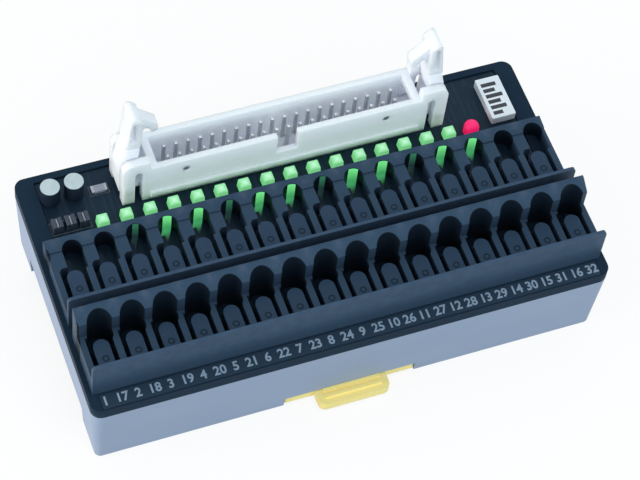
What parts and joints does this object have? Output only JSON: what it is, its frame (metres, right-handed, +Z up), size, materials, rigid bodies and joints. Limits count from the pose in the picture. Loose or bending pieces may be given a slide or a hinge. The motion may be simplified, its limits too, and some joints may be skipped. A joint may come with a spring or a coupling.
{
  "type": "terminal block",
  "caption": "Rail-mounted interface terminal block with two rows of spring-clamp terminals, lamp row and an upright latched box header for a ribbon cable plug.",
  "frame": {"origin": "middle of the seat that bears on the rail's flanges, on the rail's centre line and half way along the module", "axes": "+X along the module and the rail, +Y towards the connector side, +Z up, away from the rail"},
  "size_m": [0.1074, 0.0578, 0.0442],
  "materials": {
    "base_plastic": "fine satin moulding",
    "black_plastic": "satin moulding",
    "terminal_plastic": "semi-gloss moulding",
    "pusher_plastic": "semi-gloss moulding",
    "board_laminate": "dark solder mask",
    "strip_film": "printed film",
    "header_plastic": "off-white moulding",
    "latch_plastic": "off-white moulding",
    "pin_metal": "tin plated",
    "contact_metal": "tin plated",
    "spring_steel": "bright rolled",
    "lamp_green": "clear tinted resin",
    "lamp_red": "clear tinted resin",
    "can_metal": "drawn can",
    "jumper_plastic": "satin moulding",
    "chip_ceramic": "ceramic body",
    "plate_plastic": "plain white",
    "slider_plastic": "satin moulding"
  },
  "bodies": {
    "module": {"base": "base_plastic", "frame": "black_plastic", "circuit_board": "board_laminate", "number_strip": "strip_film", "header_shell": "header_plastic", "header_pins": "pin_metal", "green_leds": "lamp_green", "power_led": "lamp_red", "capacitors": "can_metal", "selector_jumpers": "jumper_plastic", "chip_resistor": "chip_ceramic", "marking_plate": "plate_plastic", "front_housing": "terminal_plastic", "front_contacts": "contact_metal", "front_springs": "spring_steel", "rear_housing": "terminal_plastic", "rear_contacts": "contact_metal", "rear_springs": "spring_steel"},
    "rail_slider": {"rail_slider": "slider_plastic"},
    "latch_left": {"latch_left": "latch_plastic"},
    "latch_right": {"latch_right": "latch_plastic"},
    "front_pusher_01": {"front_pusher_01": "pusher_plastic"},
    "front_pusher_02": {"front_pusher_02": "pusher_plastic"},
    "front_pusher_03": {"front_pusher_03": "pusher_plastic"},
    "front_pusher_04": {"front_pusher_04": "pusher_plastic"},
    "front_pusher_05": {"front_pusher_05": "pusher_plastic"},
    "front_pusher_06": {"front_pusher_06": "pusher_plastic"},
    "front_pusher_07": {"front_pusher_07": "pusher_plastic"},
    "front_pusher_08": {"front_pusher_08": "pusher_plastic"},
    "front_pusher_09": {"front_pusher_09": "pusher_plastic"},
    "front_pusher_10": {"front_pusher_10": "pusher_plastic"},
    "front_pusher_11": {"front_pusher_11": "pusher_plastic"},
    "front_pusher_12": {"front_pusher_12": "pusher_plastic"},
    "front_pusher_13": {"front_pusher_13": "pusher_plastic"},
    "front_pusher_14": {"front_pusher_14": "pusher_plastic"},
    "front_pusher_15": {"front_pusher_15": "pusher_plastic"},
    "front_pusher_16": {"front_pusher_16": "pusher_plastic"},
    "rear_pusher_01": {"rear_pusher_01": "pusher_plastic"},
    "rear_pusher_02": {"rear_pusher_02": "pusher_plastic"},
    "rear_pusher_03": {"rear_pusher_03": "pusher_plastic"},
    "rear_pusher_04": {"rear_pusher_04": "pusher_plastic"},
    "rear_pusher_05": {"rear_pusher_05": "pusher_plastic"},
    "rear_pusher_06": {"rear_pusher_06": "pusher_plastic"},
    "rear_pusher_07": {"rear_pusher_07": "pusher_plastic"},
    "rear_pusher_08": {"rear_pusher_08": "pusher_plastic"},
    "rear_pusher_09": {"rear_pusher_09": "pusher_plastic"},
    "rear_pusher_10": {"rear_pusher_10": "pusher_plastic"},
    "rear_pusher_11": {"rear_pusher_11": "pusher_plastic"},
    "rear_pusher_12": {"rear_pusher_12": "pusher_plastic"},
    "rear_pusher_13": {"rear_pusher_13": "pusher_plastic"},
    "rear_pusher_14": {"rear_pusher_14": "pusher_plastic"},
    "rear_pusher_15": {"rear_pusher_15": "pusher_plastic"},
    "rear_pusher_16": {"rear_pusher_16": "pusher_plastic"}
  },
  "joints": [
    {"name": "rail_slider_pull", "type": "slide", "parent": "module", "child": "rail_slider", "axis": [0, -1, 0], "range_m": [0, 0.003], "stiffness_N_per_m": 800},
    {"name": "latch_left_swing", "type": "hinge", "parent": "module", "child": "latch_left", "pos_m": [-0.033, 0.0205, 0.0173], "axis": [0, -1, 0], "range_deg": [0, 35]},
    {"name": "latch_right_swing", "type": "hinge", "parent": "module", "child": "latch_right", "pos_m": [0.033, 0.0205, 0.0173], "axis": [0, 1, 0], "range_deg": [0, 35]},
    {"name": "front_pusher_01_press", "type": "slide", "parent": "module", "child": "front_pusher_01", "axis": [0, 0, -1], "range_m": [0, 0.001], "stiffness_N_per_m": 400},
    {"name": "front_pusher_02_press", "type": "slide", "parent": "module", "child": "front_pusher_02", "axis": [0, 0, -1], "range_m": [0, 0.001], "stiffness_N_per_m": 400},
    {"name": "front_pusher_03_press", "type": "slide", "parent": "module", "child": "front_pusher_03", "axis": [0, 0, -1], "range_m": [0, 0.001], "stiffness_N_per_m": 400},
    {"name": "front_pusher_04_press", "type": "slide", "parent": "module", "child": "front_pusher_04", "axis": [0, 0, -1], "range_m": [0, 0.001], "stiffness_N_per_m": 400},
    {"name": "front_pusher_05_press", "type": "slide", "parent": "module", "child": "front_pusher_05", "axis": [0, 0, -1], "range_m": [0, 0.001], "stiffness_N_per_m": 400},
    {"name": "front_pusher_06_press", "type": "slide", "parent": "module", "child": "front_pusher_06", "axis": [0, 0, -1], "range_m": [0, 0.001], "stiffness_N_per_m": 400},
    {"name": "front_pusher_07_press", "type": "slide", "parent": "module", "child": "front_pusher_07", "axis": [0, 0, -1], "range_m": [0, 0.001], "stiffness_N_per_m": 400},
    {"name": "front_pusher_08_press", "type": "slide", "parent": "module", "child": "front_pusher_08", "axis": [0, 0, -1], "range_m": [0, 0.001], "stiffness_N_per_m": 400},
    {"name": "front_pusher_09_press", "type": "slide", "parent": "module", "child": "front_pusher_09", "axis": [0, 0, -1], "range_m": [0, 0.001], "stiffness_N_per_m": 400},
    {"name": "front_pusher_10_press", "type": "slide", "parent": "module", "child": "front_pusher_10", "axis": [0, 0, -1], "range_m": [0, 0.001], "stiffness_N_per_m": 400},
    {"name": "front_pusher_11_press", "type": "slide", "parent": "module", "child": "front_pusher_11", "axis": [0, 0, -1], "range_m": [0, 0.001], "stiffness_N_per_m": 400},
    {"name": "front_pusher_12_press", "type": "slide", "parent": "module", "child": "front_pusher_12", "axis": [0, 0, -1], "range_m": [0, 0.001], "stiffness_N_per_m": 400},
    {"name": "front_pusher_13_press", "type": "slide", "parent": "module", "child": "front_pusher_13", "axis": [0, 0, -1], "range_m": [0, 0.001], "stiffness_N_per_m": 400},
    {"name": "front_pusher_14_press", "type": "slide", "parent": "module", "child": "front_pusher_14", "axis": [0, 0, -1], "range_m": [0, 0.001], "stiffness_N_per_m": 400},
    {"name": "front_pusher_15_press", "type": "slide", "parent": "module", "child": "front_pusher_15", "axis": [0, 0, -1], "range_m": [0, 0.001], "stiffness_N_per_m": 400},
    {"name": "front_pusher_16_press", "type": "slide", "parent": "module", "child": "front_pusher_16", "axis": [0, 0, -1], "range_m": [0, 0.001], "stiffness_N_per_m": 400},
    {"name": "rear_pusher_01_press", "type": "slide", "parent": "module", "child": "rear_pusher_01", "axis": [0, 0, -1], "range_m": [0, 0.001], "stiffness_N_per_m": 400},
    {"name": "rear_pusher_02_press", "type": "slide", "parent": "module", "child": "rear_pusher_02", "axis": [0, 0, -1], "range_m": [0, 0.001], "stiffness_N_per_m": 400},
    {"name": "rear_pusher_03_press", "type": "slide", "parent": "module", "child": "rear_pusher_03", "axis": [0, 0, -1], "range_m": [0, 0.001], "stiffness_N_per_m": 400},
    {"name": "rear_pusher_04_press", "type": "slide", "parent": "module", "child": "rear_pusher_04", "axis": [0, 0, -1], "range_m": [0, 0.001], "stiffness_N_per_m": 400},
    {"name": "rear_pusher_05_press", "type": "slide", "parent": "module", "child": "rear_pusher_05", "axis": [0, 0, -1], "range_m": [0, 0.001], "stiffness_N_per_m": 400},
    {"name": "rear_pusher_06_press", "type": "slide", "parent": "module", "child": "rear_pusher_06", "axis": [0, 0, -1], "range_m": [0, 0.001], "stiffness_N_per_m": 400},
    {"name": "rear_pusher_07_press", "type": "slide", "parent": "module", "child": "rear_pusher_07", "axis": [0, 0, -1], "range_m": [0, 0.001], "stiffness_N_per_m": 400},
    {"name": "rear_pusher_08_press", "type": "slide", "parent": "module", "child": "rear_pusher_08", "axis": [0, 0, -1], "range_m": [0, 0.001], "stiffness_N_per_m": 400},
    {"name": "rear_pusher_09_press", "type": "slide", "parent": "module", "child": "rear_pusher_09", "axis": [0, 0, -1], "range_m": [0, 0.001], "stiffness_N_per_m": 400},
    {"name": "rear_pusher_10_press", "type": "slide", "parent": "module", "child": "rear_pusher_10", "axis": [0, 0, -1], "range_m": [0, 0.001], "stiffness_N_per_m": 400},
    {"name": "rear_pusher_11_press", "type": "slide", "parent": "module", "child": "rear_pusher_11", "axis": [0, 0, -1], "range_m": [0, 0.001], "stiffness_N_per_m": 400},
    {"name": "rear_pusher_12_press", "type": "slide", "parent": "module", "child": "rear_pusher_12", "axis": [0, 0, -1], "range_m": [0, 0.001], "stiffness_N_per_m": 400},
    {"name": "rear_pusher_13_press", "type": "slide", "parent": "module", "child": "rear_pusher_13", "axis": [0, 0, -1], "range_m": [0, 0.001], "stiffness_N_per_m": 400},
    {"name": "rear_pusher_14_press", "type": "slide", "parent": "module", "child": "rear_pusher_14", "axis": [0, 0, -1], "range_m": [0, 0.001], "stiffness_N_per_m": 400},
    {"name": "rear_pusher_15_press", "type": "slide", "parent": "module", "child": "rear_pusher_15", "axis": [0, 0, -1], "range_m": [0, 0.001], "stiffness_N_per_m": 400},
    {"name": "rear_pusher_16_press", "type": "slide", "parent": "module", "child": "rear_pusher_16", "axis": [0, 0, -1], "range_m": [0, 0.001], "stiffness_N_per_m": 400}
  ]
}
